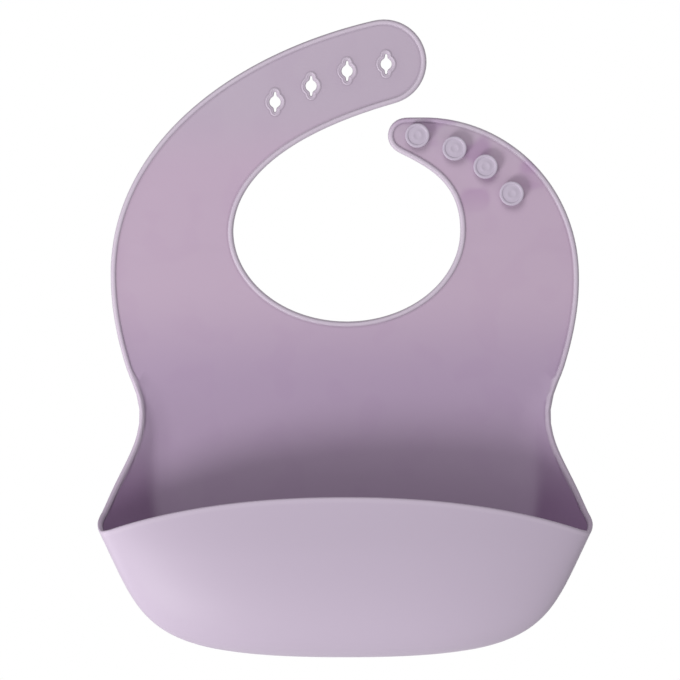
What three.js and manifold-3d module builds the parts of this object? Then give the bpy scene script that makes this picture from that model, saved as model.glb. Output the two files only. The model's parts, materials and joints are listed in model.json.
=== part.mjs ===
// Moulded silicone bib, in millimetres. +Z is up as worn, the front faces -Y, and +X is right seen from the
// front. The origin is the middle of the neck opening, on the flat back face. The moulding is drawn as its
// named regions, divided where it bends, and touching regions keep a small gap.
import * as THREE from 'three';
import { LoftGeometry } from 'three/addons/geometries/LoftGeometry.js';
import { mergeVertices } from 'three/addons/utils/BufferGeometryUtils.js';
import Module from 'manifold-3d';

// sheet, edge bead and gap between regions
const SHEET = 1.5;
const BEAD_DEPTH = 3;
const BEAD_WIDTH = 2.4;
const GAP = 0.3;

// outline of the flat sheet, and the least distance between its points
const NECK_CENTRE = [0.8, -4];
const NECK_RADII = [54.2, 43.5];
const BODY_HALF = 111;
const WAIST_HALF = 104;
const FOLD_HALF = 88;
const PANEL_FOOT = -182;
const SLOT_TIP = { x: 18.5, z: 76, radius: 20 };
const STUD_TIP = { x: 28.8, z: 41, radius: 8.4 };
const OUTLINE_STEP = 1.7;

// bending lines, and how deep their cutters reach to each side of mid thickness
const SHOULDER_Z = 0;
const TAB_HINGE = { x: -54, z: 39.5, angle: Math.PI / 4 };
const HINGE_Y = -SHEET / 2;
const HINGE_REACH = 4;

// pocket
const CORNER = { x: 115.5, z: -143, depth: 30 };
const LIP = { z: -128.5, depth: 48.5 };
const BELLY_DEPTH = 50;
const BELLY_Z = -152;
const KEEL = { z: -204.5, depth: 22 };
const POCKET_WALL = 1.6;
const RIM_TOP = -68;
const WAIST_FOOT = -98;
const RIM_RADIUS = 1.4;
// how far the walls stop below the rim's centre line, and the planes where the walls meet
const RIM_DROP = 2.6;
const SIDE_SPLIT = 94;
const SPLIT_DEPTH = -25;

// fastening: slot centres and stud centres, as [x, z]
const SLOTS = [[-33.2, 57], [-16.1, 64.6], [1, 71.7], [19.5, 75]];
const SLOT_HOLE_RADIUS = 3.1;
const SLIT = { width: 1.6, halfLength: 5.2 };
const COLLAR = { width: 1.4, depth: 2.3 };
const STUDS = [[34.2, 40.8], [51.8, 34.7], [66.5, 26.1], [78.9, 13.3]];
const STUD = {
  headRadius: 5.8, headThickness: 2.2, stemRadius: 2.7, height: 6.2, dishRadius: 4.4, dishDepth: 0.4,
};

// limits of the cutting blocks: half-width, depth, top above the pocket, and where the side beads end inside
const FAR = 150;
const DEEP = 70;
const CUT_TOP = -40;
const BEAD_DIVISION = 75;

const wasm = await Module();
wasm.setup();

const bib = new THREE.Group();
bib.name = 'silicone_bib';

function add(name, geometry, color) {
  const material = new THREE.MeshStandardMaterial({ color, roughness: 0.5, metalness: 0 });
  const mesh = new THREE.Mesh(geometry, material);
  mesh.name = name;
  bib.add(mesh);
}

const LILAC = 0xbda8bd;
const LILAC_EDGE = 0xc6b9c9;
const LILAC_POCKET = 0xbeb0c4;

// ---- solids and booleans ----

function toSolid(geometry) {
  const bare = new THREE.BufferGeometry();
  bare.setAttribute('position', geometry.attributes.position);
  bare.setIndex(geometry.index);
  const merged = mergeVertices(bare, 1e-4);
  const vertProperties = Float32Array.from(merged.attributes.position.array);
  const triVerts = Uint32Array.from(merged.index.array);
  return new wasm.Manifold(new wasm.Mesh({ numProp: 3, vertProperties, triVerts }));
}

function toGeometry(solid) {
  const { vertProperties, triVerts, numProp } = solid.getMesh();
  const position = new Float32Array(vertProperties.length / numProp * 3);
  for (let i = 0; i < position.length / 3; i++) {
    for (let k = 0; k < 3; k++) {
      position[3 * i + k] = vertProperties[numProp * i + k];
    }
  }
  const geometry = new THREE.BufferGeometry();
  geometry.setAttribute('position', new THREE.BufferAttribute(position, 3));
  geometry.setIndex(new THREE.BufferAttribute(Uint32Array.from(triVerts), 1));
  return geometry;
}

// an outline in X and Z, given depth towards the front from the plane y = back
function plate(outline, depth, back = 0) {
  const geometry = new THREE.ExtrudeGeometry(new THREE.Shape(outline), { depth, bevelEnabled: false });
  geometry.rotateX(Math.PI / 2);
  geometry.translate(0, back, 0);
  return toSolid(geometry);
}

function block(x0, x1, y0, y1, z0, z1) {
  const geometry = new THREE.BoxGeometry(x1 - x0, y1 - y0, z1 - z0);
  geometry.translate((x0 + x1) / 2, (y0 + y1) / 2, (z0 + z1) / 2);
  return toSolid(geometry);
}

// moves every edge of a closed counterclockwise outline inwards by a distance
function inset(outline, distance) {
  return outline.map((point, i) => {
    const before = outline[(i + outline.length - 1) % outline.length];
    const after = outline[(i + 1) % outline.length];
    const arriving = point.clone().sub(before).normalize();
    const leaving = after.clone().sub(point).normalize();
    const reach = distance / (1 + arriving.dot(leaving));
    const x = point.x - (arriving.y + leaving.y) * reach;
    const y = point.y + (arriving.x + leaving.x) * reach;
    return new THREE.Vector2(x, y);
  });
}

// ---- pocket surface ----

const { lerp, clamp } = THREE.MathUtils;

const nosePath = new THREE.CubicBezierCurve(
  new THREE.Vector2(CORNER.x, CORNER.z),
  new THREE.Vector2(CORNER.x - 22, CORNER.z - 44),
  new THREE.Vector2(CORNER.x - 18.5, KEEL.z),
  new THREE.Vector2(0, KEEL.z),
);

// widest half-width at a height: the flare above the corner, the round belly below it
function noseHalf(z) {
  if (z >= CORNER.z) {
    const rise = z - CORNER.z;
    return CORNER.x + 0.5 * rise - 0.0035 * rise * rise;
  }
  let low = 0;
  let high = 1;
  for (let i = 0; i < 40; i++) {
    const middle = (low + high) / 2;
    if (nosePath.getPoint(middle).y > z) {
      low = middle;
    } else {
      high = middle;
    }
  }
  return nosePath.getPoint(low).x;
}

// a quarter of a rounded curve: 1 down to the height start, then 0 at the keel
function fade(z, start, power) {
  const s = clamp((start - z) / (start - KEEL.z), 0, 1);
  return Math.pow(1 - Math.pow(s, power), 1 / power);
}

function foldHalf(z) {
  const half = FOLD_HALF * Math.pow(Math.min(noseHalf(z) / CORNER.x, 1), 0.9);
  const slope = clamp((z - WAIST_FOOT) / (RIM_TOP - WAIST_FOOT), 0, 1.3);
  return half + slope * slope * (WAIST_HALF - FOLD_HALF);
}

// horizontal section of the pocket at a height, from the right fold round the front to the left fold
function pocketSection(z, thickness = 0) {
  const nose = noseHalf(z) - thickness;
  const fold = foldHalf(z) - thickness;
  const back = -KEEL.depth * (1 - fade(z, PANEL_FOOT, 2)) - thickness;
  const noseDepth = lerp(KEEL.depth, CORNER.depth, fade(z, CORNER.z, 2)) - thickness * 0.6;
  const bellyDepth = lerp(LIP.depth, BELLY_DEPTH, THREE.MathUtils.smoothstep(-z, -LIP.z, -BELLY_Z));
  const front = lerp(KEEL.depth, bellyDepth, fade(z, BELLY_Z, 2.6)) - thickness;
  const sideBow = 1.5 * fade(z, CORNER.z, 2);
  const right = [
    [fold, back],
    [lerp(fold, nose, 0.5) + sideBow, lerp(back, -noseDepth, 0.5) - sideBow],
    [nose, -noseDepth],
    [nose * 0.9, -lerp(noseDepth, front, 0.5)],
    [nose * 0.5, -lerp(noseDepth, front, 0.92)],
  ];
  const left = right.map(([x, y]) => [-x, y]).reverse();
  const points = [...right, [0, -front], ...left].map(([x, y]) => new THREE.Vector3(x, y, z));
  return new THREE.CatmullRomCurve3(points, false, 'catmullrom', 0.5);
}

function pocketSolid(thickness) {
  const rows = [-60, -75, -90, -105, -120, -132, -143, -152, -162, -172, -182, -190, -196, -200, -203];
  const lowest = KEEL.z + thickness + 0.2;
  const heights = [...rows.filter((z) => z > lowest + 0.5), lowest];
  const sections = heights.map((z) => pocketSection(z, thickness).getPoints(30));
  return toSolid(new LoftGeometry(sections, { capStart: true, capEnd: true }));
}

// height of the rim: the side edge by depth, and the front lip by half-width
const sideEdge = new THREE.CubicBezierCurve(
  new THREE.Vector2(0, RIM_TOP),
  new THREE.Vector2(-5, RIM_TOP - 28),
  new THREE.Vector2(-18, CORNER.z + 26),
  new THREE.Vector2(-CORNER.depth, CORNER.z),
);
const lipRise = LIP.z - (CORNER.z - 1.5);

function lipHeight(x) {
  const s = Math.min(Math.abs(x) / CORNER.x, 1);
  return LIP.z - lipRise * Math.pow(s, 2.1);
}

// an outline in Y and Z, drawn out along X about x = 0
function alongX(outline, length) {
  const options = { depth: length, bevelEnabled: false };
  const geometry = new THREE.ExtrudeGeometry(new THREE.Shape(outline), options);
  geometry.translate(0, 0, -length / 2);
  geometry.applyMatrix4(new THREE.Matrix4().makeBasis(
    new THREE.Vector3(0, 1, 0),
    new THREE.Vector3(0, 0, 1),
    new THREE.Vector3(1, 0, 0),
  ));
  return geometry;
}

// everything above the rim, lowered by drop
function abovePocketRim(drop) {
  const side = sideEdge.getPoints(12).map((p) => new THREE.Vector2(p.x, p.y - drop));
  side.unshift(new THREE.Vector2(4, RIM_TOP - drop));
  side.push(new THREE.Vector2(-CORNER.depth - 0.5, CORNER.z - drop));
  side.push(new THREE.Vector2(-CORNER.depth - 0.5, CUT_TOP), new THREE.Vector2(4, CUT_TOP));
  const lip = [];
  for (let x = -FAR; x <= FAR; x += 10) {
    lip.push(new THREE.Vector2(x, lipHeight(x) - drop));
  }
  lip.push(new THREE.Vector2(FAR, CUT_TOP), new THREE.Vector2(-FAR, CUT_TOP));
  return toSolid(alongX(side, 2 * FAR)).add(plate(lip, DEEP, -CORNER.depth));
}

// ---- flat sheet outline, counterclockwise from the right foot ----

function bodyOutline() {
  const edge = new THREE.Path();
  const slack = BEAD_WIDTH;
  edge.moveTo(foldHalf(PANEL_FOOT) + slack, PANEL_FOOT - slack);
  for (let z = PANEL_FOOT + 6; z < -75; z += 10) {
    edge.lineTo(foldHalf(z) + slack, z);
  }
  edge.lineTo(WAIST_HALF + 1, RIM_TOP);
  edge.bezierCurveTo(109, -52, BODY_HALF, -40, BODY_HALF - 0.2, -26);
  edge.bezierCurveTo(BODY_HALF - 0.2, 18, 76, 50.5, 36, 49.4);
  edge.absarc(STUD_TIP.x, STUD_TIP.z, STUD_TIP.radius, Math.PI * 0.45, Math.PI * 1.32, false);
  edge.bezierCurveTo(38.3, 26.9, NECK_CENTRE[0] + NECK_RADII[0], 20, NECK_CENTRE[0] + NECK_RADII[0], -4);
  edge.absellipse(...NECK_CENTRE, ...NECK_RADII, 0, -Math.PI, true, 0);
  edge.bezierCurveTo(-51.9, 28.5, -11, 46.8, 22.8, 56);
  edge.absarc(SLOT_TIP.x, SLOT_TIP.z, SLOT_TIP.radius, -Math.PI * 0.43, Math.PI * 0.58, false);
  edge.bezierCurveTo(-60, 78, -BODY_HALF - 1, 32, -BODY_HALF, -26);
  edge.bezierCurveTo(-BODY_HALF, -40, -109, -52, -WAIST_HALF - 1, RIM_TOP);
  for (let z = -82; z > PANEL_FOOT; z -= 10) {
    edge.lineTo(-foldHalf(z) - slack, z);
  }
  edge.lineTo(-foldHalf(PANEL_FOOT) - slack, PANEL_FOOT - slack);
  const kept = [];
  for (const point of edge.getPoints(13)) {
    if (kept.length === 0 || point.distanceTo(kept[kept.length - 1]) > OUTLINE_STEP) {
      kept.push(point);
    }
  }
  return kept;
}

// a bow-tie cutter along a bending line: a small gap at mid thickness, opening at 45 degrees to both faces
function hingeCut(x, z, angle, length) {
  const deepest = HINGE_REACH;
  const wide = GAP / 2 + deepest;
  const profile = [
    [0, GAP / 2], [-deepest, wide], [-deepest, -wide], [0, -GAP / 2], [deepest, -wide], [deepest, wide],
  ].map(([deep, across]) => new THREE.Vector2(deep, across));
  const geometry = alongX(profile, length);
  geometry.rotateY(angle);
  geometry.translate(x, HINGE_Y, z);
  return toSolid(geometry);
}

// ---- flat regions ----

const outline = bodyOutline();
const edgeRing = plate(outline, BEAD_DEPTH).subtract(plate(inset(outline, BEAD_WIDTH), BEAD_DEPTH + 2, 1));
const sheet = plate(inset(outline, BEAD_WIDTH + GAP), SHEET);
const shoulderCut = hingeCut(0, SHOULDER_Z, 0, 2 * FAR);
const tabCut = hingeCut(TAB_HINGE.x, TAB_HINGE.z, TAB_HINGE.angle, 80);

function region(points) {
  return plate(points.map(([x, z]) => new THREE.Vector2(x, z)), 12, 4);
}

// the gap between the two straps, from the neck opening out to the right
const STRAPS_SPLIT = [[10, SHOULDER_Z], [12, 48], [20, 52.5], [FAR, 52.5]];
const belowShoulder = region([[-FAR, -FAR - 60], [FAR, -FAR - 60], [FAR, SHOULDER_Z], [-FAR, SHOULDER_Z]]);
const slotSide = region([[-FAR, SHOULDER_Z], ...STRAPS_SPLIT, [FAR, FAR], [-FAR, FAR]]);
const studSide = region([[FAR, SHOULDER_Z], ...[...STRAPS_SPLIT].reverse()]);
const beyondTabHinge = region([
  [TAB_HINGE.x + 60, TAB_HINGE.z - 60], [FAR + 60, FAR - 60], [FAR - 60, FAR + 60],
  [TAB_HINGE.x - 60, TAB_HINGE.z + 60],
]);

function flatPiece(solid, ...regions) {
  let piece = solid.subtract(shoulderCut).subtract(tabCut);
  for (const part of regions) {
    piece = piece.intersect(part);
  }
  return piece;
}

add('apron_panel', toGeometry(flatPiece(sheet, belowShoulder)), LILAC);
const neckRegion = block(-BEAD_DIVISION, BEAD_DIVISION, -5, 1, RIM_TOP + 2, SHOULDER_Z);
add('neckline_bead', toGeometry(flatPiece(edgeRing, neckRegion)), LILAC_EDGE);
for (const [side, x0, x1] of [['left', -FAR, -BEAD_DIVISION], ['right', BEAD_DIVISION, FAR]]) {
  const edgeRegion = block(x0, x1, -5, 1, RIM_TOP + 2, SHOULDER_Z);
  add(`${side}_side_bead`, toGeometry(flatPiece(edgeRing, edgeRegion)), LILAC_EDGE);
}

// ---- slot strap: shoulder length, then the tab with its four slots ----

const strapSegment = slotSide.subtract(beyondTabHinge);
add('slot_strap', toGeometry(flatPiece(sheet, strapSegment)), LILAC);
const innerSide = region([[-BEAD_DIVISION, -1], [20, -1], [20, 60], [-25, 60]]);
add('slot_strap_inner_bead', toGeometry(flatPiece(edgeRing, strapSegment, innerSide)), LILAC_EDGE);
add('slot_strap_outer_bead', toGeometry(flatPiece(edgeRing, strapSegment).subtract(innerSide)), LILAC_EDGE);

// a round hole with a slit above and below it, grown by a margin
function slotOutline([x, z], margin) {
  const radius = SLOT_HOLE_RADIUS + margin;
  const slit = SLIT.width / 2 + margin;
  const tip = SLIT.halfLength + margin - slit;
  const open = Math.acos(slit / radius);
  const path = new THREE.Path();
  path.absarc(x, z, radius, -open, open, false);
  path.absarc(x, z + tip, slit, 0, Math.PI, false);
  path.absarc(x, z, radius, Math.PI - open, Math.PI + open, false);
  path.absarc(x, z - tip, slit, Math.PI, 2 * Math.PI, false);
  const points = path.getPoints(5);
  return points.filter((p, i) => p.distanceTo(points[(i + 1) % points.length]) > 0.05);
}

let tab = flatPiece(sheet, slotSide, beyondTabHinge);
SLOTS.forEach((centre, i) => {
  tab = tab.subtract(plate(slotOutline(centre, COLLAR.width + GAP), 6, 2));
  const opening = plate(slotOutline(centre, 0), 6, 2);
  const ring = plate(slotOutline(centre, COLLAR.width), COLLAR.depth).subtract(opening);
  add(`slot_collar_${i + 1}`, toGeometry(ring), LILAC_EDGE);
});
add('slot_tab', toGeometry(tab), LILAC);
add('slot_tab_bead', toGeometry(flatPiece(edgeRing, slotSide, beyondTabHinge)), LILAC_EDGE);

// ---- stud strap with its four studs ----

let studStrap = flatPiece(sheet, studSide);
STUDS.forEach(([x, z], i) => {
  const bore = new THREE.CylinderGeometry(STUD.stemRadius + GAP, STUD.stemRadius + GAP, 6, 24);
  bore.translate(x, 0, z);
  studStrap = studStrap.subtract(toSolid(bore));
  const { headRadius, stemRadius, height, headThickness, dishRadius, dishDepth } = STUD;
  const profile = [
    [0, -height + dishDepth], [dishRadius, -height + dishDepth], [dishRadius + 0.3, -height],
    [headRadius - 0.5, -height], [headRadius, -height + 0.6], [headRadius, -height + headThickness],
    [stemRadius, -height + headThickness + 0.5], [stemRadius, 0], [0, 0],
  ].map(([radius, y]) => new THREE.Vector2(radius, y));
  const stud = new THREE.LatheGeometry(profile, 24);
  stud.translate(x, 0, z);
  add(`stud_${i + 1}`, toGeometry(toSolid(stud)), LILAC_EDGE);
});
add('stud_strap', toGeometry(studStrap), LILAC);
add('stud_strap_bead', toGeometry(flatPiece(edgeRing, studSide)), LILAC_EDGE);

// ---- pocket ----

// the point of a section nearest a wanted depth, or nearest a wanted half-width past the nose
function onSection(z, from, to, error) {
  const section = pocketSection(z, POCKET_WALL / 2);
  let best = section.getPoint(from);
  for (let u = from; u <= to; u += 0.002) {
    const point = section.getPoint(u);
    if (error(point) < error(best)) {
      best = point;
    }
  }
  return best;
}

function rimPath() {
  const right = [];
  for (const edge of sideEdge.getPoints(4).slice(0, 8)) {
    right.push(onSection(edge.y, 0, 0.2, (p) => Math.abs(p.y - edge.x)));
  }
  for (let x = 106; x > 10; x -= 12) {
    right.push(onSection(lipHeight(x), 0.2, 0.5, (p) => Math.abs(p.x - x)));
  }
  const left = right.map((p) => new THREE.Vector3(-p.x, p.y, p.z)).reverse();
  const middle = onSection(LIP.z, 0.4, 0.5, (p) => Math.abs(p.x));
  return new THREE.CatmullRomCurve3([...right, middle, ...left], false, 'centripetal');
}

// an eight-sided tube along a curve
function tubeAlong(curve, radius) {
  const ring = new THREE.Path().absarc(0, 0, radius, 0, 2 * Math.PI).getPoints(4).slice(0, 8);
  const options = { steps: 70, extrudePath: curve, bevelEnabled: false };
  return toSolid(new THREE.ExtrudeGeometry(new THREE.Shape(ring), options));
}

const panelSpace = plate(inset(outline, BEAD_WIDTH), SHEET + GAP + 1, 1);
const behindBack = block(-FAR, FAR, 0, 5, KEEL.z, 0);
const rimCurve = rimPath();
const rimSpace = tubeAlong(rimCurve, RIM_RADIUS + GAP);
const shell = pocketSolid(0).subtract(pocketSolid(POCKET_WALL));
const walls = shell.subtract(abovePocketRim(RIM_DROP)).subtract(rimSpace).subtract(panelSpace);
const aboveFoot = block(-FAR, FAR, -DEEP, 2, PANEL_FOOT + GAP, CUT_TOP);
const belowFoot = block(-FAR, FAR, -DEEP, 2, KEEL.z - GAP, PANEL_FOOT);
const frontSpace = block(-SIDE_SPLIT, SIDE_SPLIT, -DEEP, SPLIT_DEPTH, PANEL_FOOT + GAP, CUT_TOP);
const grownFront = block(-SIDE_SPLIT - GAP, SIDE_SPLIT + GAP, -DEEP, SPLIT_DEPTH + GAP, PANEL_FOOT, CUT_TOP);
add('pocket_front_wall', toGeometry(walls.intersect(frontSpace)), LILAC_POCKET);
for (const [side, x0, x1] of [['left', -FAR, -20], ['right', 20, FAR]]) {
  const half = block(x0, x1, -DEEP, 2, PANEL_FOOT, 0);
  const wall = walls.intersect(aboveFoot).subtract(grownFront).intersect(half);
  add(`pocket_${side}_wall`, toGeometry(wall), LILAC_POCKET);
}
add('pocket_floor', toGeometry(walls.intersect(belowFoot)), LILAC_POCKET);

const rimBead = tubeAlong(rimCurve, RIM_RADIUS).subtract(panelSpace).subtract(behindBack);
add('pocket_rim_bead', toGeometry(rimBead), LILAC_EDGE);

export default bib;
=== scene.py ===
"""Silicone bib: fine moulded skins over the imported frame, with its materials, light and camera.

Metres, +Z up as worn, front towards -Y. Lengths below are written in millimetres and scaled once by MM.
"""
import json
import math

import bmesh
import bpy
import numpy as np
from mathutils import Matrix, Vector
from mathutils.geometry import delaunay_2d_cdt


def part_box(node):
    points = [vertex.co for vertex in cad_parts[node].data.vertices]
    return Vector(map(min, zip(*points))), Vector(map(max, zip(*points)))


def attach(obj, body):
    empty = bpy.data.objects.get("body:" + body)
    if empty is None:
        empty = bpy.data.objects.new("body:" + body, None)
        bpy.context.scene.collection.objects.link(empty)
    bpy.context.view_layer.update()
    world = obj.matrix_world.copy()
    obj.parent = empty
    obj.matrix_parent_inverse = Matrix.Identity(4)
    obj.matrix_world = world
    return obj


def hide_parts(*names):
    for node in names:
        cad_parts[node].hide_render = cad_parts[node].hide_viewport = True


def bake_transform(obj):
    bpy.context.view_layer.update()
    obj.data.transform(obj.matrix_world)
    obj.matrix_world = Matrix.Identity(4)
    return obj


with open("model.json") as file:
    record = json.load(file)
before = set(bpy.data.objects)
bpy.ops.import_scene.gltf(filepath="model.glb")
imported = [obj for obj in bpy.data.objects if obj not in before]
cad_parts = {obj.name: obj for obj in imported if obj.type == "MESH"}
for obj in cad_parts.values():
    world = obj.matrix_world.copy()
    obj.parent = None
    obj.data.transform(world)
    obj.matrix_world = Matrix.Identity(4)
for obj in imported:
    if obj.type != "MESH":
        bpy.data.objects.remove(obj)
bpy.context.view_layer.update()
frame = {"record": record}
MM = 0.001

# ---- sizes, taken from the frame where it holds them; depths run forward from the flat back ----

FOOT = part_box("pocket_floor")[1][2] / MM
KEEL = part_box("pocket_floor")[0][2] / MM
SHEET = (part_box("apron_panel")[1][1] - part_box("apron_panel")[0][1]) / MM
KEEL_DEPTH = 22.0
CORNER_X = 115.5
CORNER_Z = -143.0
CORNER_DEPTH = 30.0
RIM_TOP = -68.0
WAIST_X = 104.0
WAIST_FADE = 30.0
FOLD_X = 88.0
LIP_Z = -128.5
LIP_DEPTH = 48.5
LIP_FALL = 17.0
BELLY_DEPTH = 50.0
BELLY_Z = -155.0

# heights where the skins meet: the apron with both straps, and the slot strap with its tab
LOWER_CUT = -13.0
UPPER_CUT = 14.0


def smoothstep(low, high, value):
    """0 up to low, 1 from high on, and a smooth rise between."""
    t = np.clip((value - low) / (high - low), 0.0, 1.0)
    return t * t * (3.0 - 2.0 * t)


def lerp(a, b, t):
    return a + (b - a) * t


def bezier(p0, p1, p2, p3, count):
    """count + 1 points of a cubic curve."""
    t = np.linspace(0.0, 1.0, count + 1)[:, None]
    p0, p1, p2, p3 = (np.array(p, float) for p in (p0, p1, p2, p3))
    return (1 - t) ** 3 * p0 + 3 * (1 - t) ** 2 * t * p1 + 3 * (1 - t) * t * t * p2 + t ** 3 * p3


def mixed(a, b, weight):
    """Rows of a towards rows of b, by a weight for each row."""
    return np.asarray(a) + (np.asarray(b) - np.asarray(a)) * weight[:, None]


def arc(centre, radii, start, end, count):
    """count + 1 points of an ellipse's arc, angles in degrees."""
    a = np.radians(np.linspace(start, end, count + 1))
    return np.stack([centre[0] + radii[0] * np.cos(a), centre[1] + radii[1] * np.sin(a)], 1)


def resample(points, step):
    """Evenly spaced points along a polyline, both ends kept."""
    lengths = np.linalg.norm(np.diff(points, axis=0), axis=1)
    along = np.concatenate([[0.0], np.cumsum(lengths)])
    wanted = np.linspace(0.0, along[-1], max(2, int(round(along[-1] / step))) + 1)
    return np.stack([np.interp(wanted, along, points[:, k]) for k in range(points.shape[1])], 1)


# ---- pocket: horizontal sections ----


def fade(z, start, power):
    """1 down to the height start, then a rounded fall to 0 at the keel."""
    s = np.clip((start - z) / (start - KEEL), 0.0, 1.0)
    return (1.0 - s ** power) ** (1.0 / power)


# half-width and height of the pocket's outline below its corner
NOSE = bezier(
    (CORNER_X, CORNER_Z), (CORNER_X - 22, CORNER_Z - 44), (CORNER_X - 18.5, KEEL), (0, KEEL), 400,
)


def nose_half(z):
    """Widest half-width of the pocket at a height."""
    if z >= CORNER_Z:
        rise = z - CORNER_Z
        return CORNER_X + 0.5 * rise - 0.0035 * rise * rise
    return float(np.interp(-z, -NOSE[:, 1], NOSE[:, 0]))


def fold_half(z):
    """Half-width of the flat back wall at a height."""
    waist = max(0.0, (z + 100.0) / (100.0 + RIM_TOP))
    return FOLD_X * fade(z, -125.0, 2.2) + (WAIST_X - FOLD_X) * waist ** 2


def back_depth(z):
    """Depth of the back wall, which curves forward below the foot."""
    return KEEL_DEPTH * (1.0 - fade(z, FOOT, 2.0))


def spline_basis(count, samples):
    """Cubic clamped B-spline weights: one row per sample, one column per control point."""
    knots = np.concatenate([[0.0] * 3, np.linspace(0.0, 1.0, count - 2), [1.0] * 3])
    u = np.clip(samples, 0.0, 1.0 - 1e-9)
    basis = ((u[:, None] >= knots[:-1]) & (u[:, None] < knots[1:])).astype(float)
    for degree in (1, 2, 3):
        rows = []
        for i in range(basis.shape[1] - 1):
            left = knots[i + degree] - knots[i]
            right = knots[i + degree + 1] - knots[i + 1]
            value = np.zeros(len(u))
            if left > 0:
                value = value + (u - knots[i]) / left * basis[:, i]
            if right > 0:
                value = value + (knots[i + degree + 1] - u) / right * basis[:, i + 1]
            rows.append(value)
        basis = np.stack(rows, 1)
    return basis


SIDE_COLUMNS = 48
U = np.linspace(0.0, 1.0, 4 * SIDE_COLUMNS + 1)
BASIS = spline_basis(13, U)


def pocket_section(z):
    """x, y round the pocket at a height, from the right fold round the front to the left fold."""
    nose = nose_half(z)
    fold = fold_half(z)
    back = -back_depth(z)
    side = -lerp(KEEL_DEPTH, CORNER_DEPTH, fade(z, CORNER_Z, 2.0))
    belly = lerp(LIP_DEPTH, BELLY_DEPTH, smoothstep(-LIP_Z, -BELLY_Z, -z))
    front = -lerp(KEEL_DEPTH, belly, fade(z, -150.0, 2.6))
    corner_x = nose
    # the control point is moved out until the curve itself reaches the wanted half-width
    for attempt in range(6):
        right = [
            (fold, back),
            (lerp(fold, corner_x, 0.22), lerp(back, side, 0.20)),
            (lerp(fold, corner_x, 0.62), lerp(back, side, 0.55)),
            (corner_x, side),
            (corner_x * 0.96, lerp(side, front, 0.50)),
            (corner_x * 0.62, lerp(side, front, 0.96)),
        ]
        left = [(-x, y) for x, y in reversed(right)]
        curve = BASIS @ np.array(right + [(0.0, front)] + left)
        corner_x += nose - curve[:, 0].max()
    curve[:, 1] *= smoothstep(0.0, WAIST_FADE, RIM_TOP - z)
    return curve


# the right side edge of the pocket from the waist to the corner, as seen from the front
EDGE_RIGHT = np.concatenate([
    bezier((WAIST_X, RIM_TOP), (101.5, -76), (97.4, -82), (97.3, -92), 24),
    bezier((97.3, -92), (97.3, -105), (105.5, -116), (111.5, -131), 24)[1:],
    bezier((111.5, -131), (114.0, -137), (116.0, -141), (CORNER_X + 1.0, -146), 12)[1:],
])


def edge_half(z):
    """Half-width of the pocket's side edge as seen from the front."""
    return float(np.interp(-z, -EDGE_RIGHT[:, 1], EDGE_RIGHT[:, 0]))


def lip_height(x):
    """Height of the front lip, highest in the middle."""
    s = min(abs(x) / CORNER_X, 1.0)
    return LIP_Z - LIP_FALL * s ** 2.15


# the rim is smoothed over this many columns each side of the corner, this many times
CORNER_SPREAD = 13
CORNER_ROUNDS = 34
SECTION_HEIGHTS = np.concatenate([np.arange(RIM_TOP, CORNER_Z - 4, -1.0), NOSE[16:-4:4, 1]])
SECTIONS = np.array([pocket_section(z) for z in SECTION_HEIGHTS])


def on_pocket(column, z):
    """The pocket surface at a column and a height."""
    x, y = (np.interp(-z, -SECTION_HEIGHTS, SECTIONS[:, column, k]) for k in (0, 1))
    return np.array([x, y, z])


def side_edge_height(column):
    """Height where a column of the surface crosses the side edge."""
    low = CORNER_Z - 12.0
    high = RIM_TOP
    for halving in range(30):
        middle = 0.5 * (low + high)
        if abs(on_pocket(column, middle)[0]) < edge_half(middle):
            low = middle
        else:
            high = middle
    return 0.5 * (low + high)


def rim_heights():
    """Height of the rim at every column: the side edge, then the lip, with a round corner between them."""
    half = 2 * SIDE_COLUMNS
    nose_column = int(np.argmax([on_pocket(c, CORNER_Z)[0] for c in range(half + 1)]))
    rim = []
    for column in range(half + 1):
        if column < nose_column:
            rim.append(side_edge_height(column))
        else:
            rim.append(lip_height(on_pocket(column, -140.0)[0]))
    rim = np.array(rim)
    near = np.abs(np.arange(half + 1) - nose_column) < CORNER_SPREAD
    for repeat in range(CORNER_ROUNDS):
        soft = rim.copy()
        soft[1:-1] = 0.25 * rim[:-2] + 0.5 * rim[1:-1] + 0.25 * rim[2:]
        rim[near] = soft[near]
    return np.concatenate([rim, rim[-2::-1]])


RIM = rim_heights()

# ---- rows of the pocket, from the rim to the foot line, then rings down to the keel ----

RIM_ROWS = np.array([0.0, 0.3, 0.7, 1.1, 1.5, 1.9, 2.2, 2.5, 3.2, 4.5])
WALL_ROWS = 34
FOOT_COLUMNS = 56
LAST_RING = float(NOSE[-6, 1])
EVEN_RINGS = np.linspace(FOOT, -196.0, 11)
LOW_RINGS = NOSE[NOSE[:, 1] < -196.5, 1][:-6:9]
RING_HEIGHTS = np.concatenate([EVEN_RINGS, LOW_RINGS, [LAST_RING]])


def row_heights(column):
    """Heights of a column's rows: close together at the rim, then even down to the foot."""
    top = RIM[column]
    below = top - RIM_ROWS[-1]
    spread = np.linspace(0.0, 1.0, WALL_ROWS + 1)[1:]
    return np.concatenate([top - RIM_ROWS, lerp(below, FOOT, spread)])


COLUMN_HEIGHTS = [row_heights(c) for c in range(len(U))]

# ---- flat sheet ----

TAB_TIP = (18.5, 76.0)
TAB_RADIUS = 20.0
STUD_TIP = (28.8, 41.0)
STUD_TIP_RADIUS = 8.4
NECK = (0.8, -4.0)
NECK_RADII = (54.2, 43.5)
SLOTS = [(-33.2, 57.0), (-16.1, 64.6), (1.0, 71.7), (19.5, 75.0)]
STUDS = [(34.2, 40.8), (51.8, 34.7), (66.5, 26.1), (78.9, 13.3)]


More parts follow.
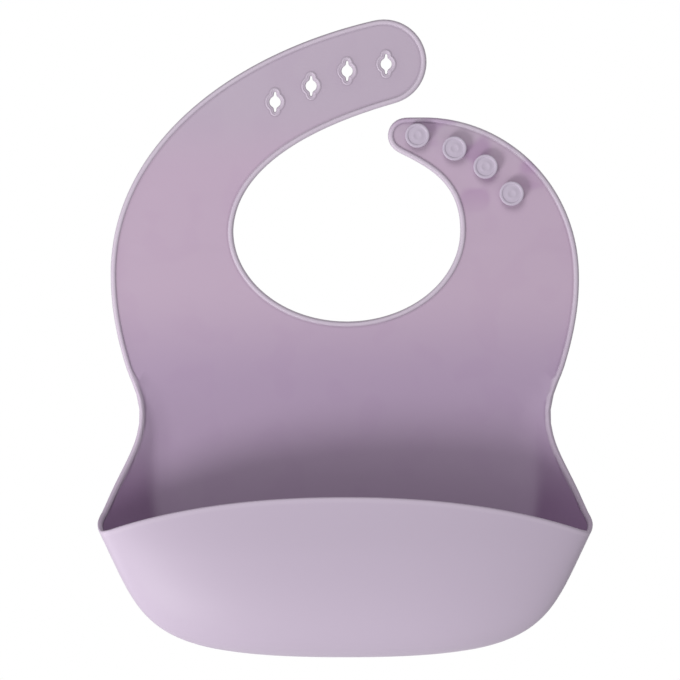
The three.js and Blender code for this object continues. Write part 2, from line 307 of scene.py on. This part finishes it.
def free_edge():
    """The beaded edge, from the right waist up and round both straps and the neck to the left waist."""
    tab_end = arc(TAB_TIP, (TAB_RADIUS, TAB_RADIUS), -77.4, 104.4, 40)
    stud_end = arc(STUD_TIP, (STUD_TIP_RADIUS, STUD_TIP_RADIUS), 84, 237.6, 24)
    parts = [
        bezier((WAIST_X, RIM_TOP), (108.3, -54), (111, -40), (110.8, -26), 30),
        bezier((110.8, -26), (110.8, 18), (76, 50.2), (36, 49.4), 80),
        stud_end,
        bezier(stud_end[-1], (38.3, 26.9), (55, 20), (55, -4), 50),
        arc(NECK, NECK_RADII, 0, -180, 120),
        bezier((-53.4, -4), (-51.9, 28.5), (-11, 46.8), tab_end[0], 80),
        tab_end,
        bezier(tab_end[-1], (-60, 78), (-112, 32), (-111, -26), 110),
        bezier((-111, -26), (-111, -40), (-108.3, -54), (-WAIST_X, RIM_TOP), 30),
    ]
    edge = resample(np.concatenate(parts), 1.3)
    for repeat in range(4):
        edge[1:-1] = 0.25 * edge[:-2] + 0.5 * edge[1:-1] + 0.25 * edge[2:]
    return edge


def inset(points, distance, closed=False):
    """Points moved to the left of the line's direction."""
    if closed:
        before, after = np.roll(points, 1, 0), np.roll(points, -1, 0)
    else:
        before = np.concatenate([points[:1], points[:-1]])
        after = np.concatenate([points[1:], points[-1:]])
    along = after - before
    along /= np.linalg.norm(along, axis=1)[:, None]
    return points + distance * np.stack([-along[:, 1], along[:, 0]], 1)


def slot_loop(centre):
    """A round hole with a slit above and below it, counterclockwise."""
    radius, slit, reach = 2.95, 0.85, 4.3
    opening = math.degrees(math.acos(slit / radius))
    parts = [
        arc(centre, (radius, radius), -opening, opening, 16),
        arc((centre[0], centre[1] + reach), (slit, slit), 0, 180, 8),
        arc(centre, (radius, radius), 180 - opening, 180 + opening, 16),
        arc((centre[0], centre[1] - reach), (slit, slit), 180, 360, 8),
    ]
    loop = np.concatenate(parts + [parts[0][:1]])
    loop = resample(loop, 0.5)[:-1]
    for repeat in range(2):
        loop = 0.2 * np.roll(loop, 1, 0) + 0.6 * loop + 0.2 * np.roll(loop, -1, 0)
    return loop


def distance_to_line(points, line, closed=False):
    """Distance from each point to the nearest segment of a polyline."""
    a = line if closed else line[:-1]
    b = np.roll(line, -1, 0) if closed else line[1:]
    ab = b - a
    best = np.empty(len(points))
    batch = 2000
    for k in range(0, len(points), batch):
        p = points[k:k + batch, None, :]
        t = np.clip(((p - a) * ab).sum(2) / (ab * ab).sum(1), 0, 1)
        best[k:k + batch] = np.linalg.norm(p - (a + t[..., None] * ab), axis=2).min(1)
    return best


def inside(points, loop):
    """Which points lie within a closed loop."""
    x, y = points[:, 0][:, None], points[:, 1][:, None]
    x0, y0 = loop[:, 0], loop[:, 1]
    x1, y1 = np.roll(x0, -1), np.roll(y0, -1)
    rise = np.where(y1 == y0, 1e-12, y1 - y0)
    crossing = ((y0 > y) != (y1 > y)) & (x < (x1 - x0) * (y - y0) / rise + x0)
    return crossing.sum(1) % 2 == 1


EDGE = free_edge()
BELOW_WAIST = EDGE_RIGHT[1:42]
LONG_EDGE = np.concatenate([BELOW_WAIST[::-1], EDGE, BELOW_WAIST * (-1.0, 1.0)])
SLOT_LOOPS = [slot_loop(c) for c in SLOTS]
FOLD_RIGHT = np.array([[fold_half(z), z] for z in COLUMN_HEIGHTS[0]])
FOLD_LEFT = FOLD_RIGHT * (-1.0, 1.0)
FOOT_X = np.linspace(-fold_half(FOOT), fold_half(FOOT), FOOT_COLUMNS + 1)
FOOT_LINE = np.stack([FOOT_X, np.full(len(FOOT_X), FOOT)], 1)
OUTLINE = np.concatenate([EDGE, FOLD_LEFT[1:], FOOT_LINE[1:], FOLD_RIGHT[1:-1][::-1]])

# distances from an edge at which the mesh has a line of its own
BEAD_RINGS = (0.25, 0.55, 0.9, 1.3, 1.7, 2.0, 2.2, 2.4, 2.7, 3.4)
COLLAR_RINGS = (0.2, 0.45, 0.75, 1.0, 1.25, 1.5, 1.75, 2.0, 2.4)
GRID_STEP = 3.2


def flat_mesh():
    """Points (x, z) and triangles of the flat sheet, with lines along its beads, collars and cuts."""
    points = []
    edges = []

    def add_line(line, keep=None, closed=False):
        index = {}
        for i in range(len(line)):
            if keep is None or keep[i]:
                index[i] = len(points)
                points.append(tuple(line[i]))
        for i in range(len(line) - (0 if closed else 1)):
            j = (i + 1) % len(line)
            if i in index and j in index:
                edges.append((index[i], index[j]))

    add_line(OUTLINE, closed=True)
    for distance in BEAD_RINGS:
        ring = inset(LONG_EDGE, distance)
        fold = np.array([fold_half(z) if z < RIM_TOP else 200.0 for z in ring[:, 1]])
        add_line(ring, np.abs(ring[:, 0]) < fold - 0.35)
    for loop in SLOT_LOOPS:
        add_line(loop, closed=True)
        for distance in COLLAR_RINGS:
            add_line(inset(loop, -distance, closed=True), closed=True)
    for z, x0, x1 in ((LOWER_CUT, -116.0, -40.0), (LOWER_CUT, 40.0, 116.0), (UPPER_CUT, -116.0, -35.0)):
        add_line(np.array([[x0, z], [x1, z]]))
    grid = []
    for z in np.arange(FOOT + 3.0, 100.0, GRID_STEP):
        for x in np.arange(-114.0, 114.1, GRID_STEP):
            grid.append((x, z))
    grid = np.array(grid)
    grid = grid[inside(grid, OUTLINE)]
    grid = grid[distance_to_line(grid, OUTLINE, closed=True) > 4.3]
    grid = grid[(np.abs(grid[:, 1] - LOWER_CUT) > 1.0) & (np.abs(grid[:, 1] - UPPER_CUT) > 1.0)]
    for loop in SLOT_LOOPS:
        grid = grid[distance_to_line(grid, loop, closed=True) > 3.2]
    points.extend(map(tuple, grid))
    result = delaunay_2d_cdt([Vector(p) for p in points], edges, [], 0, 1e-5)
    flat = np.array([tuple(p) for p in result[0]])
    triangles = np.array([tuple(f) for f in result[2]])
    centres = flat[triangles].mean(1)
    keep = inside(centres, OUTLINE)
    for loop in SLOT_LOOPS:
        keep &= ~inside(centres, loop)
    return flat, triangles[keep]


# ---- one surface for the whole bib: the back of the sheet and the outside of the pocket ----


def whole_surface():
    """Points and faces of the flat sheet, the pocket's walls, the curved foot of its back and its keel."""
    flat, triangles = flat_mesh()
    points = [(x, 0.0, z) for x, z in flat]
    faces = [tuple(t) for t in triangles]

    rows = len(COLUMN_HEIGHTS[0])
    start = len(points)
    count = len(U)
    for column in range(count):
        for z in COLUMN_HEIGHTS[column]:
            x, y = on_pocket(column, z)[:2]
            if column in (0, count - 1):
                x, y = math.copysign(fold_half(z), x), 0.0
            points.append((x, y, z))
        for z in RING_HEIGHTS[1:]:
            points.append(tuple(on_pocket(column, z)))
    depth = rows + len(RING_HEIGHTS) - 1
    for column in range(count - 1):
        for row in range(depth - 1):
            a = start + column * depth + row
            faces.append((a, a + 1, a + depth + 1, a + depth))

    base = len(points)
    for ring, z in enumerate(RING_HEIGHTS):
        right = on_pocket(0, z) if ring else np.array([fold_half(FOOT), 0.0, FOOT])
        for k in range(FOOT_COLUMNS + 1):
            t = k / FOOT_COLUMNS
            points.append((lerp(-right[0], right[0], t), right[1], z))
    for ring in range(len(RING_HEIGHTS) - 1):
        for k in range(FOOT_COLUMNS):
            a = base + ring * (FOOT_COLUMNS + 1) + k
            b = a + FOOT_COLUMNS + 1
            faces.append((a, b, b + 1, a + 1))

    pole = len(points)
    points.append((0.0, -KEEL_DEPTH, KEEL))
    last_front = [start + column * depth + depth - 1 for column in range(count)]
    for a, b in zip(last_front, last_front[1:]):
        faces.append((a, pole, b))
    last_back = [base + (len(RING_HEIGHTS) - 1) * (FOOT_COLUMNS + 1) + k for k in range(FOOT_COLUMNS + 1)]
    for a, b in zip(last_back, last_back[1:]):
        faces.append((a, pole, b))
    return np.array(points), faces


WELD = 0.02
FOLD_ROUNDS = 8


def clean_surface():
    """Welds the shared lines and rounds the folds between the flat back and the pocket's sides."""
    points, faces = whole_surface()
    bm = bmesh.new()
    verts = [bm.verts.new(p) for p in points]
    for face in faces:
        try:
            bm.faces.new([verts[i] for i in face])
        except ValueError:
            pass
    bmesh.ops.remove_doubles(bm, verts=bm.verts, dist=WELD)
    bmesh.ops.recalc_face_normals(bm, faces=bm.faces)
    loose = [v for v in bm.verts if not v.link_faces]
    bmesh.ops.delete(bm, geom=loose, context="VERTS")
    bm.verts.ensure_lookup_table()
    top = max((f for f in bm.faces if f.calc_center_median().z > 0), key=lambda f: f.calc_area())
    if top.normal.y < 0:
        bmesh.ops.reverse_faces(bm, faces=bm.faces)
    soft = []
    for v in bm.verts:
        z = v.co.z
        near_fold = abs(abs(v.co.x) - fold_half(z)) < 3.0 and v.co.y > -back_depth(z) - 2.5
        near_foot = abs(z - FOOT) < 6.0 and v.co.y > -6.0
        if z < RIM_TOP - 8 and (near_fold or near_foot or z < -200) and not v.is_boundary:
            soft.append(v)
    for repeat in range(FOLD_ROUNDS):
        moved = {}
        for v in soft:
            others = [e.other_vert(v).co for e in v.link_edges]
            moved[v] = v.co.lerp(sum(others, Vector()) / len(others), 0.5)
        for v, co in moved.items():
            v.co = co
    bm.normal_update()
    return bm


# ---- thickness: the front face is set in by the sheet, the bead and the collars ----


def pocket_share(points):
    """0 on the flat sheet, 1 on the pocket walls."""
    return smoothstep(0.5, 6.0, -points[:, 1])


def edge_profile(d, height):
    """Extra thickness across a bead, by distance from the edge."""
    rise = np.sqrt(np.clip(1.0 - (1.0 - np.clip(d / 0.9, 0, 1)) ** 2, 0, 1))
    fall = 1.0 - smoothstep(1.75, 2.35, d)
    groove = 0.12 * np.exp(-((d - 2.45) / 0.25) ** 2)
    return height * (rise * fall) - 0.45 * (1.0 - rise) - groove


def collar_profile(d):
    """Extra thickness across a slot's collar, by distance from the slot."""
    rise = smoothstep(0.0, 0.25, d)
    ridge = 0.45 * np.exp(-((d - 1.25) / 0.33) ** 2)
    return ridge - 0.3 * (1.0 - rise)


FLAT_BEAD = 0.85
RIM_BEAD = 0.5
CREASE_AT = 2.5
SLOT_CREASE_AT = 2.0


def solid_arrays(bm):
    """Back points, front points, the base colours of both with their painted shade, sheen and edge light,
    and the strength of the painted shade patches, for every vertex.
    """
    bm.verts.index_update()
    points = np.array([v.co[:] for v in bm.verts])
    normals = np.array([v.normal[:] for v in bm.verts])
    flat = points[:, 1] > -0.01
    level = np.where(flat, smoothstep(RIM_TOP - 8.0, RIM_TOP + 1.0, points[:, 2]), 0.0)
    normals = mixed(normals, (0.0, 1.0, 0.0), level)
    normals /= np.linalg.norm(normals, axis=1)[:, None]
    rim = np.array([on_pocket(c, RIM[c]) for c in range(len(U))])
    edge = np.stack([EDGE[:, 0], np.zeros(len(EDGE)), EDGE[:, 1]], 1)
    d = np.minimum(distance_to_line(points, edge), distance_to_line(points, rim))
    share = pocket_share(points)
    height = lerp(FLAT_BEAD, RIM_BEAD, share)
    thickness = SHEET + edge_profile(d, height) + 0.1 * share
    slot_d = np.full(len(points), 99.0)
    for loop in SLOT_LOOPS:
        line = np.stack([loop[:, 0], np.zeros(len(loop)), loop[:, 1]], 1)
        slot_d = np.minimum(slot_d, distance_to_line(points, line, closed=True))
    thickness = thickness + collar_profile(slot_d)
    edge_in = 0.3 * (1.0 - smoothstep(0.0, 0.6, np.minimum(d, slot_d)))
    back = points - normals * edge_in[:, None]
    front = points - normals * thickness[:, None]
    # painted edge light: the beads and collars are paler, standing in for light scattered in the thicker
    # silicone and caught along the rim
    pale = np.maximum(1.0 - smoothstep(2.0, 2.5, d), 0.8 * (1.0 - smoothstep(1.5, 1.9, slot_d)))
    # painted shade: a thin dark line along the step inside each bead and round each collar
    crease_shade = 0.5 * np.exp(-((d - CREASE_AT) / 0.3) ** 2)
    crease_shade = crease_shade + 0.65 * np.exp(-((slot_d - SLOT_CREASE_AT) / 0.25) ** 2)
    return back, front, tones(points, share, pale, crease_shade), shade_patchiness(points)


def tones(points, share, pale, crease_shade):
    """Base colours of the back points, then of the front points, with painted shade, painted sheen and
    painted edge light in them.
    """
    z = points[:, 2]
    # painted shade: the front face darkens from 28 mm to 80 mm below the origin and stays dark lower down,
    # standing in for the shade of the pocket's front wall
    pocket_shade = smoothstep(*POCKET_SHADE_Z, -z)
    sheet = mixed(SHEET_COLOR, STRAP_COLOR, smoothstep(20.0, 60.0, z))
    # painted sheen: the pocket's outside is paler and bluer, standing in for the light it reflects
    outside = mixed(sheet, POCKET_SHEEN_COLOR, share)
    within = mixed(sheet, POCKET_SHADE_COLOR, pocket_shade)
    # painted shade, darker still on the pocket's walls from 92 mm down, deepest in its end corners
    within = mixed(within, CORNER_SHADE_COLOR, share * smoothstep(92.0, 138.0, -z))
    # painted edge light on the beads and collars, a little weaker where the painted pocket shade lies
    within = mixed(within, EDGE_LIGHT_COLOR, pale * (1.0 - 0.3 * pocket_shade))
    # painted shade along the steps inside the beads and round the collars, weaker on the pocket
    within = within * (1.0 - 0.35 * crease_shade[:, None] * (1.0 - 0.6 * share[:, None]))
    # the back gets the painted edge light too, mostly left off the pocket's outside
    return mixed(outside, EDGE_LIGHT_COLOR, pale * (1.0 - 0.75 * share)), within


def shade_patchiness(points):
    """How strongly the painted shade patches show: most around the studs."""
    x, z = points[:, 0], points[:, 2]
    return 0.10 + 0.90 * smoothstep(0.0, 20.0, z) * smoothstep(15.0, 28.0, x) * (z < 51.5)


def piece_of(centre):
    """Which skin a face belongs to."""
    x, y, z = centre
    if z < LOWER_CUT or (abs(x) < 45.0 and z < 10.0):
        return "apron_skin"
    beyond = z > 47.0 + 0.28 * x if x < 20.0 else z > 52.5
    if x < 5.0 or beyond:
        return "slot_strap_skin" if z < UPPER_CUT and x < 0 else "slot_tab_skin"
    return "stud_strap_skin"


EDGE_BULGE = 0.28


def build_skins(material):
    """Gives the surface its thickness and makes one closed-edged object for each skin."""
    bm = clean_surface()
    back, front, (back_tone, front_tone), patches = solid_arrays(bm)
    groups = {}
    for face in bm.faces:
        groups.setdefault(piece_of(face.calc_center_median()), []).append([v.index for v in face.verts])
    boundary = set()
    for e in bm.edges:
        if e.is_boundary:
            boundary.add((e.verts[0].index, e.verts[1].index))
            boundary.add((e.verts[1].index, e.verts[0].index))
    bm.free()
    skins = {}
    for name, faces in groups.items():
        used = sorted({i for f in faces for i in f})
        place = {i: k for k, i in enumerate(used)}
        n = len(used)
        verts = [*(back[used] * MM), *(front[used] * MM)]
        tone = [*back_tone[used], *front_tone[used]]
        # the strength of the painted shade patches, faint on the back
        shade_patch = [*(0.1 * patches[used]), *patches[used]]
        polygons = []
        rounded = {}

        def middle(i):
            if i not in rounded:
                rounded[i] = len(verts)
                verts.append(None)
                tone.append(0.5 * (back_tone[i] + front_tone[i]))
                shade_patch.append(patches[i])
            return rounded[i]

        outward = {}
        for f in faces:
            polygons.append([place[i] for i in f])
            polygons.append([n + place[i] for i in reversed(f)])
            for a, b in zip(f, f[1:] + f[:1]):
                if (a, b) in boundary:
                    along = back[b] - back[a]
                    up = back[a] - front[a]
                    out = np.cross(along, up)
                    out /= max(np.linalg.norm(out), 1e-9)
                    for i in (a, b):
                        outward[i] = outward.get(i, np.zeros(3)) + out
                    ma, mb = middle(a), middle(b)
                    polygons.append([place[b], place[a], ma, mb])
                    polygons.append([mb, ma, n + place[a], n + place[b]])
        for i, k in rounded.items():
            out = outward[i] / max(np.linalg.norm(outward[i]), 1e-9)
            verts[k] = (0.5 * (back[i] + front[i]) + EDGE_BULGE * out) * MM
        mesh = bpy.data.meshes.new(name)
        mesh.from_pydata([tuple(v) for v in verts], [], polygons)
        mesh.validate()
        mesh.polygons.foreach_set("use_smooth", [True] * len(mesh.polygons))
        # tone: the base colours with their painted shade, sheen and edge light
        colour = mesh.attributes.new("tone", "FLOAT_COLOR", "POINT")
        rgba = np.concatenate([np.array(tone), np.ones((len(tone), 1))], 1)
        colour.data.foreach_set("color", rgba.astype(np.float32).ravel())
        # the strength of the painted shade patches
        amount = mesh.attributes.new("shade_patch", "FLOAT", "POINT")
        amount.data.foreach_set("value", np.array(shade_patch, np.float32))
        mesh.materials.append(material)
        obj = bpy.data.objects.new(name, mesh)
        bpy.context.scene.collection.objects.link(obj)
        skins[name] = obj
    return skins


# ---- materials ----


# the sheet, strap and stud colours are the silicone's own; the rest are painted edge light, painted sheen
# and painted shade
SHEET_COLOR = (0.50, 0.378, 0.497)
# painted edge light on the beads, the rim and the slot collars
EDGE_LIGHT_COLOR = (0.58, 0.50, 0.60)
# painted sheen on the pocket's outside
POCKET_SHEEN_COLOR = (0.495, 0.415, 0.525)
STRAP_COLOR = (0.480, 0.395, 0.495)
# painted shade inside the pocket
POCKET_SHADE_COLOR = (0.405, 0.300, 0.435)
# painted shade in the pocket's end corners
CORNER_SHADE_COLOR = (0.275, 0.170, 0.300)
STUD_COLOR = (0.52, 0.45, 0.56)
# painted shade patches, standing in for light through the thin strap
SHADE_PATCH_TINT = (0.86, 0.76, 0.88)
# heights over which the painted pocket shade deepens
POCKET_SHADE_Z = (28.0, 80.0)


def silicone(name, plain_color=None):
    """Satin moulded silicone, coloured plainly or by the mesh, whose colours hold painted shade, sheen and
    edge light with painted shade patches over them, all with a fine grain.
    """
    material = bpy.data.materials.new(name)
    material.use_nodes = True
    tree = material.node_tree
    nodes, links = tree.nodes, tree.links
    shader = nodes["Principled BSDF"]
    shader.inputs["Roughness"].default_value = 0.46
    shader.inputs["IOR"].default_value = 1.41
    shader.inputs["Specular IOR Level"].default_value = 0.4
    shader.inputs["Sheen Weight"].default_value = 0.12
    shader.inputs["Sheen Roughness"].default_value = 0.5
    place = nodes.new("ShaderNodeTexCoord")
    if plain_color:
        shader.inputs["Base Color"].default_value = (*plain_color, 1.0)
    else:
        # painted shade: soft noise patches darken the mesh's tone, most around the studs, standing in for
        # light through the thin strap
        cloud = nodes.new("ShaderNodeTexNoise")
        cloud.inputs["Scale"].default_value = 52.0
        cloud.inputs["Detail"].default_value = 1.0
        links.new(place.outputs["Object"], cloud.inputs["Vector"])
        ramp = nodes.new("ShaderNodeMapRange")
        ramp.inputs["From Min"].default_value = 0.50
        ramp.inputs["From Max"].default_value = 0.64
        ramp.interpolation_type = "SMOOTHSTEP"
        links.new(cloud.outputs["Fac"], ramp.inputs["Value"])
        amount = nodes.new("ShaderNodeAttribute")
        amount.attribute_name = "shade_patch"
        share = nodes.new("ShaderNodeMath")
        share.operation = "MULTIPLY"
        links.new(ramp.outputs["Result"], share.inputs[0])
        links.new(amount.outputs["Fac"], share.inputs[1])
        tone = nodes.new("ShaderNodeAttribute")
        tone.attribute_name = "tone"
        tint = nodes.new("ShaderNodeMix")
        tint.data_type = "RGBA"
        tint.blend_type = "MULTIPLY"
        tint.inputs["B"].default_value = (*SHADE_PATCH_TINT, 1.0)
        links.new(share.outputs["Value"], tint.inputs["Factor"])
        links.new(tone.outputs["Color"], tint.inputs["A"])
        links.new(tint.outputs["Result"], shader.inputs["Base Color"])
    grain = nodes.new("ShaderNodeTexNoise")
    grain.inputs["Scale"].default_value = 2600.0
    grain.inputs["Detail"].default_value = 2.0
    links.new(place.outputs["Object"], grain.inputs["Vector"])
    bump = nodes.new("ShaderNodeBump")
    bump.inputs["Strength"].default_value = 0.08
    bump.inputs["Distance"].default_value = 0.0001
    links.new(grain.outputs["Fac"], bump.inputs["Height"])
    links.new(bump.outputs["Normal"], shader.inputs["Normal"])
    return material


# ---- studs ----


def lathe(name, profile, x, z, material, segments=72):
    """A solid of revolution about a line along Y through (x, z), from (radius, y) pairs in millimetres."""
    bm = bmesh.new()
    rings = []
    for radius, y in profile:
        if radius == 0:
            rings.append([bm.verts.new((x * MM, y * MM, z * MM))])
            continue
        ring = []
        for k in range(segments):
            a = 2 * math.pi * k / segments
            across, up = radius * math.cos(a), radius * math.sin(a)
            ring.append(bm.verts.new(((x + across) * MM, y * MM, (z + up) * MM)))
        rings.append(ring)
    for a, b in zip(rings, rings[1:]):
        for k in range(segments):
            j = (k + 1) % segments
            corners = [a[k % len(a)], a[j % len(a)], b[j % len(b)], b[k % len(b)]]
            bm.faces.new(list(dict.fromkeys(corners)))
    bmesh.ops.recalc_face_normals(bm, faces=bm.faces)
    mesh = bpy.data.meshes.new(name)
    bm.to_mesh(mesh)
    bm.free()
    mesh.polygons.foreach_set("use_smooth", [True] * len(mesh.polygons))
    mesh.materials.append(material)
    obj = bpy.data.objects.new(name, mesh)
    bpy.context.scene.collection.objects.link(obj)
    return obj


def rounded(corner_in, corner, corner_out, radius, count=5):
    """Points of a rounded corner of a profile."""
    c = np.array(corner, float)
    a = c + radius * (np.array(corner_in) - c) / np.linalg.norm(np.array(corner_in) - c)
    b = c + radius * (np.array(corner_out) - c) / np.linalg.norm(np.array(corner_out) - c)
    t = np.linspace(0, 1, count)[:, None]
    return [tuple(p) for p in (1 - t) ** 2 * a + 2 * (1 - t) * t * c + t * t * b]


def stud_profile():
    """Radius and y from the middle of the face, round the head and down the stem into the sheet."""
    top, head, stem = -6.2, 5.75, 2.7
    points = [(0.0, top + 0.45), (1.6, top + 0.45), (2.0, top + 0.25), (2.4, top + 0.45)]
    points += rounded((2.6, top + 0.45), (4.3, top + 0.45), (4.5, top), 0.25)
    points += rounded((4.3, top + 0.3), (4.7, top), (5.4, top), 0.3)
    points += rounded((5.0, top), (head, top), (head, top + 1.0), 0.6, 8)
    points += rounded((head, top + 1.4), (head, top + 2.3), (head - 1.0, top + 2.5), 0.5)
    points += rounded((head - 1.5, top + 2.6), (stem, top + 2.9), (stem, top + 3.9), 0.6)
    points += rounded((stem, -SHEET - 1.2), (stem, -SHEET + 0.1), (stem + 1.0, -SHEET + 0.1), 0.7)
    points += [(stem + 1.2, -SHEET + 0.3), (0.0, -SHEET + 0.5)]
    return points


# ---- light, floor and camera ----


def area_light(name, place, target, size, power):
    data = bpy.data.lights.new(name, "AREA")
    data.shape = "DISK"
    data.size = size
    data.energy = power
    light = bpy.data.objects.new(name, data)
    light.location = place
    direction = Vector(target) - Vector(place)
    light.rotation_euler = direction.to_track_quat("-Z", "Y").to_euler()
    bpy.context.scene.collection.objects.link(light)


FLOOR_RADIUS = 6.5
FLOOR_Z = -1.1


def studio():
    """Soft lights from the lower left, upper front, left and behind, a pale floor and a white surround."""
    middle = (0.0, -0.02, -0.06)
    area_light("key_low", (-0.72, -0.95, -0.76), middle, 0.5, 8.8)
    area_light("upper_front", (-0.2, -1.2, 0.7), middle, 0.9, 7.0)
    area_light("left_edge", (-0.9, -0.05, -0.35), middle, 0.4, 3.0)
    area_light("behind", (0.3, 1.3, 0.2), middle, 2.0, 9.0)
    world = bpy.data.worlds.new("studio")
    world.use_nodes = True
    nodes, links = world.node_tree.nodes, world.node_tree.links
    surround = nodes["Background"]
    surround.inputs["Color"].default_value = (1.0, 1.0, 1.0, 1.0)
    surround.inputs["Strength"].default_value = 0.26
    seen = nodes.new("ShaderNodeBackground")
    seen.inputs["Color"].default_value = (1.0, 1.0, 1.0, 1.0)
    seen.inputs["Strength"].default_value = 1.0
    ray = nodes.new("ShaderNodeLightPath")
    mix = nodes.new("ShaderNodeMixShader")
    links.new(ray.outputs["Is Camera Ray"], mix.inputs["Fac"])
    links.new(surround.outputs["Background"], mix.inputs[1])
    links.new(seen.outputs["Background"], mix.inputs[2])
    links.new(mix.outputs["Shader"], nodes["World Output"].inputs["Surface"])
    bpy.context.scene.world = world
    bpy.context.scene.view_settings.view_transform = "Standard"

    bm = bmesh.new()
    bmesh.ops.create_circle(bm, cap_ends=True, segments=128, radius=FLOOR_RADIUS)
    mesh = bpy.data.meshes.new("floor")
    bm.to_mesh(mesh)
    bm.free()
    floor = bpy.data.objects.new("floor", mesh)
    floor.location = (0.0, 0.0, FLOOR_Z)
    white = bpy.data.materials.new("floor_white")
    white.use_nodes = True
    paint = white.node_tree.nodes["Principled BSDF"]
    paint.inputs["Base Color"].default_value = (0.3, 0.3, 0.3, 1.0)
    paint.inputs["Roughness"].default_value = 0.9
    paint.inputs["Emission Color"].default_value = (1.0, 1.0, 1.0, 1.0)
    paint.inputs["Emission Strength"].default_value = 0.5
    mesh.materials.append(white)
    bpy.context.scene.collection.objects.link(floor)


def camera():
    """A long lens square to the front."""
    data = bpy.data.cameras.new("camera")
    distance = 1.5
    width = 0.323
    data.sensor_width = 36.0
    data.lens = data.sensor_width * distance / width
    cam = bpy.data.objects.new("camera", data)
    cam.location = (-0.0024, -distance, -0.056)
    cam.rotation_euler = (math.pi / 2, 0.0, 0.0)
    bpy.context.scene.collection.objects.link(cam)
    bpy.context.scene.camera = cam


# ---- assembly ----

lilac = silicone("lilac_silicone")
lilac_stud = silicone("lilac_silicone_stud", STUD_COLOR)

skins = build_skins(lilac)
apron = skins["apron_skin"]
slot_strap = skins["slot_strap_skin"]
slot_tab = skins["slot_tab_skin"]
stud_strap = skins["stud_strap_skin"]

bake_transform(apron)
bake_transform(slot_strap)
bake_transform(slot_tab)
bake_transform(stud_strap)

nodes_of = frame["record"]["behaviour"]["bodies"]
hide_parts(*nodes_of["apron"], *nodes_of["pocket_bowl"])
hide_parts(*nodes_of["slot_strap_base"])
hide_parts(*nodes_of["slot_strap_end"])
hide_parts("stud_strap", "stud_strap_bead")

profile = stud_profile()
for number, (x, z) in enumerate(STUDS, 1):
    stud = lathe(f"stud_{number}_moulded", profile, x, z, lilac_stud)
    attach(stud, "stud_strap_base")
    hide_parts(f"stud_{number}")

camera()
studio()
